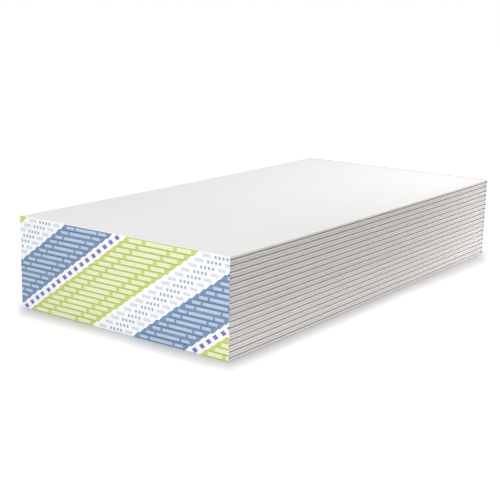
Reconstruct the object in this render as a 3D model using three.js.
// A stack of drywall sheets, as a building yard keeps it.
// Every two sheets lie face to face with their backs outwards, and a paper tape
// folded over each end holds the two as one bundle. The bundles lie square on each
// other, but for a millimetre or so, and a tapered slot shows along both long sides in
// the middle of each bundle.
//
// Millimetres. +X runs across the sheets, +Y along them, +Z up.
// The origin is the middle of the stack's underside; the tapes of the -Y end are
// single pieces, and those of the +Y end are one piece with a groove between bundles.

import * as THREE from 'three';

// The stack
const BUNDLE_COUNT = 17;
const BUNDLE_GAP = 0.02; // air between the tapes of two bundles
const BUNDLE_SHIFT = 1.2; // how far a bundle may be set down out of line, each way
const SHIFT_TURN_ACROSS = 2.4; // radians from one bundle's shift to the next, across
const SHIFT_TURN_ALONG = 3.9; // and along the stack

// One sheet: a sawn length of gypsum board with paper round its long edges
const SHEET_LENGTH = 2438.4;
const SHEET_WIDTH = 1219.2;
const SHEET_THICKNESS = 12.7;
const TAPER_WIDTH = 57; // the face slopes over this width along each long edge
const TAPER_DEPTH = 2.2; // and is this much lower at the edge itself
const BACK_EDGE_RADIUS = 2.7; // where the paper turns from the edge to the back
const FACE_EDGE_RADIUS = 2.9; // where it turns from the edge to the face
const END_EASE = 0.8; // the arris of a sawn end, crushed as the tape is pulled over it
const TURN_SEGMENTS = 2; // flats to each eighth of a circle in the paper's turns
const FACE_GAP = 0.05; // air between the two faces of a bundle

// One end tape: a paper channel over the end of a bundle, glued to both backs
const TAPE_THICKNESS = 0.1;
const TAPE_FLANGE = 18; // how far it reaches over each back
const GLUE_GAP = 0.02; // between the tape and the sheets

// What follows from them
const SHEET_GAP = TAPE_THICKNESS + GLUE_GAP; // from a bundle's outside to its sheets
const BUNDLE_HEIGHT = 2 * SHEET_THICKNESS + FACE_GAP + 2 * SHEET_GAP;
const BUNDLE_PITCH = BUNDLE_HEIGHT + BUNDLE_GAP;

// A 45-degree chamfer that is offset by 1 grows by this much along each leg
const CHAMFER_GROWTH = 2 - Math.SQRT2;
const FOLD_INSIDE = END_EASE + GLUE_GAP * CHAMFER_GROWTH;
const FOLD_OUTSIDE = FOLD_INSIDE + TAPE_THICKNESS * CHAMFER_GROWTH;

// How far a bundle lies out of line: across the stack as x, and along it as y
function bundleShift(bundle) {
  const across = BUNDLE_SHIFT * Math.sin(SHIFT_TURN_ACROSS * bundle);
  const along = BUNDLE_SHIFT * Math.sin(SHIFT_TURN_ALONG * bundle);
  return new THREE.Vector2(across, along);
}

const backPaper = new THREE.MeshStandardMaterial({
  color: 0xe6e4df,
  roughness: 0.92,
  metalness: 0,
});
const tapePaper = new THREE.MeshStandardMaterial({
  color: 0xf4f4f1,
  roughness: 0.75,
  metalness: 0,
});

// The section across a sheet, seen along its length: the flat back at y = 0 and the
// face above it, lower at both long edges, with the paper's four rounded turns.
function sheetSection() {
  const half = SHEET_WIDTH / 2;
  const slope = Math.atan2(TAPER_DEPTH, TAPER_WIDTH);
  const edgeTop = SHEET_THICKNESS - TAPER_DEPTH;
  // The face's turn touches the upright edge and the slope, so it ends off square
  const faceTurnX = half - FACE_EDGE_RADIUS;
  const faceTurnY = edgeTop + FACE_EDGE_RADIUS * (Math.tan(slope) - 1 / Math.cos(slope));
  const section = new THREE.Shape();
  section.absarc(half - BACK_EDGE_RADIUS, BACK_EDGE_RADIUS, BACK_EDGE_RADIUS, -Math.PI / 2, 0);
  section.absarc(faceTurnX, faceTurnY, FACE_EDGE_RADIUS, 0, Math.PI / 2 - slope);
  section.lineTo(half - TAPER_WIDTH, SHEET_THICKNESS);
  section.lineTo(TAPER_WIDTH - half, SHEET_THICKNESS);
  section.absarc(-faceTurnX, faceTurnY, FACE_EDGE_RADIUS, Math.PI / 2 + slope, Math.PI);
  section.absarc(BACK_EDGE_RADIUS - half, BACK_EDGE_RADIUS, BACK_EDGE_RADIUS, Math.PI, 1.5 * Math.PI);
  return section;
}

// A sheet lying on its back, centred on the origin in plan. The bevel of the extrusion
// is the eased arris round each sawn end.
function sheetGeometry() {
  const geometry = new THREE.ExtrudeGeometry(sheetSection(), {
    depth: SHEET_LENGTH - 2 * END_EASE,
    curveSegments: TURN_SEGMENTS,
    bevelEnabled: true,
    bevelThickness: END_EASE,
    bevelSize: END_EASE,
    bevelOffset: -END_EASE,
    bevelSegments: 1,
  });
  geometry.rotateX(Math.PI / 2);
  geometry.translate(0, SHEET_LENGTH / 2 - END_EASE, 0);
  return geometry;
}

// The section of end tapes, one for each of the bundles, seen across the sheets: x runs
// inwards from the outside of a web, and y up from the underside of the lowest tape. A
// web lies as far in as its bundle does. Tapes of one piece are joined where their
// flanges lie on each other, and a groove follows their folds between the bundles.
function tapeSection(inwardShifts) {
  const reach = SHEET_GAP + TAPE_FLANGE;
  const rows = inwardShifts.map((web, bundle) => {
    const bottom = bundle * BUNDLE_PITCH;
    return { web, bottom, top: bottom + BUNDLE_HEIGHT };
  });
  const section = new THREE.Shape();
  section.moveTo(rows[0].web + reach, 0);
  for (const { web, bottom, top } of rows) {
    // the inside of the channels, from the lowest bundle up
    const inside = web + TAPE_THICKNESS;
    section.lineTo(web + reach, bottom);
    section.lineTo(web + reach, bottom + TAPE_THICKNESS);
    section.lineTo(inside + FOLD_INSIDE, bottom + TAPE_THICKNESS);
    section.lineTo(inside, bottom + TAPE_THICKNESS + FOLD_INSIDE);
    section.lineTo(inside, top - TAPE_THICKNESS - FOLD_INSIDE);
    section.lineTo(inside + FOLD_INSIDE, top - TAPE_THICKNESS);
    section.lineTo(web + reach, top - TAPE_THICKNESS);
    section.lineTo(web + reach, top);
  }
  for (const { web, bottom, top } of rows.reverse()) {
    // the outside of the webs and their folds, from the uppermost bundle down
    section.lineTo(web + FOLD_OUTSIDE, top);
    section.lineTo(web, top - FOLD_OUTSIDE);
    section.lineTo(web, bottom + FOLD_OUTSIDE);
    section.lineTo(web + FOLD_OUTSIDE, bottom);
  }
  return section;
}

// The same tapes as a solid at the -Y end, as wide as the sheets
function tapeGeometry(inwardShifts) {
  const geometry = new THREE.ExtrudeGeometry(tapeSection(inwardShifts), {
    depth: SHEET_WIDTH,
    bevelEnabled: false,
  });
  geometry.translate(-SHEET_LENGTH / 2 - SHEET_GAP, 0, -SHEET_WIDTH / 2);
  const lengthwise = new THREE.Vector3(0, 1, 0);
  const upright = new THREE.Vector3(0, 0, 1);
  const crosswise = new THREE.Vector3(1, 0, 0);
  geometry.applyMatrix4(new THREE.Matrix4().makeBasis(lengthwise, upright, crosswise));
  return geometry;
}

function named(name, geometry, material, height, shift) {
  const mesh = new THREE.Mesh(geometry, material);
  mesh.name = name;
  mesh.position.set(shift.x, shift.y, height);
  return mesh;
}

function numbered(name, number) {
  return `${name}_${String(number).padStart(2, '0')}`;
}

const stack = new THREE.Group();
const sheet = sheetGeometry();
const tape = tapeGeometry([0]);
const backWebs = []; // how far each web of the +Y end lies in

for (let bundle = 0; bundle < BUNDLE_COUNT; bundle += 1) {
  const shift = bundleShift(bundle);
  const base = bundle * BUNDLE_PITCH;
  const upperBack = base + BUNDLE_HEIGHT - SHEET_GAP;
  const lowerName = numbered('sheet', 2 * bundle + 1);
  const upperName = numbered('sheet', 2 * bundle + 2);
  const lower = named(lowerName, sheet, backPaper, base + SHEET_GAP, shift);
  const upper = named(upperName, sheet, backPaper, upperBack, shift);
  upper.rotation.y = Math.PI; // turned over, face down on the lower sheet's face
  stack.add(lower, upper);
  stack.add(named(numbered('end_tape', bundle + 1), tape, tapePaper, base, shift));
  backWebs.push(-shift.y);
}

const square = new THREE.Vector2(0, 0);
const backEnd = named('back_end_tapes', tapeGeometry(backWebs), tapePaper, 0, square);
backEnd.rotation.z = Math.PI; // the same channels, turned to the other end
stack.add(backEnd);

export default stack;
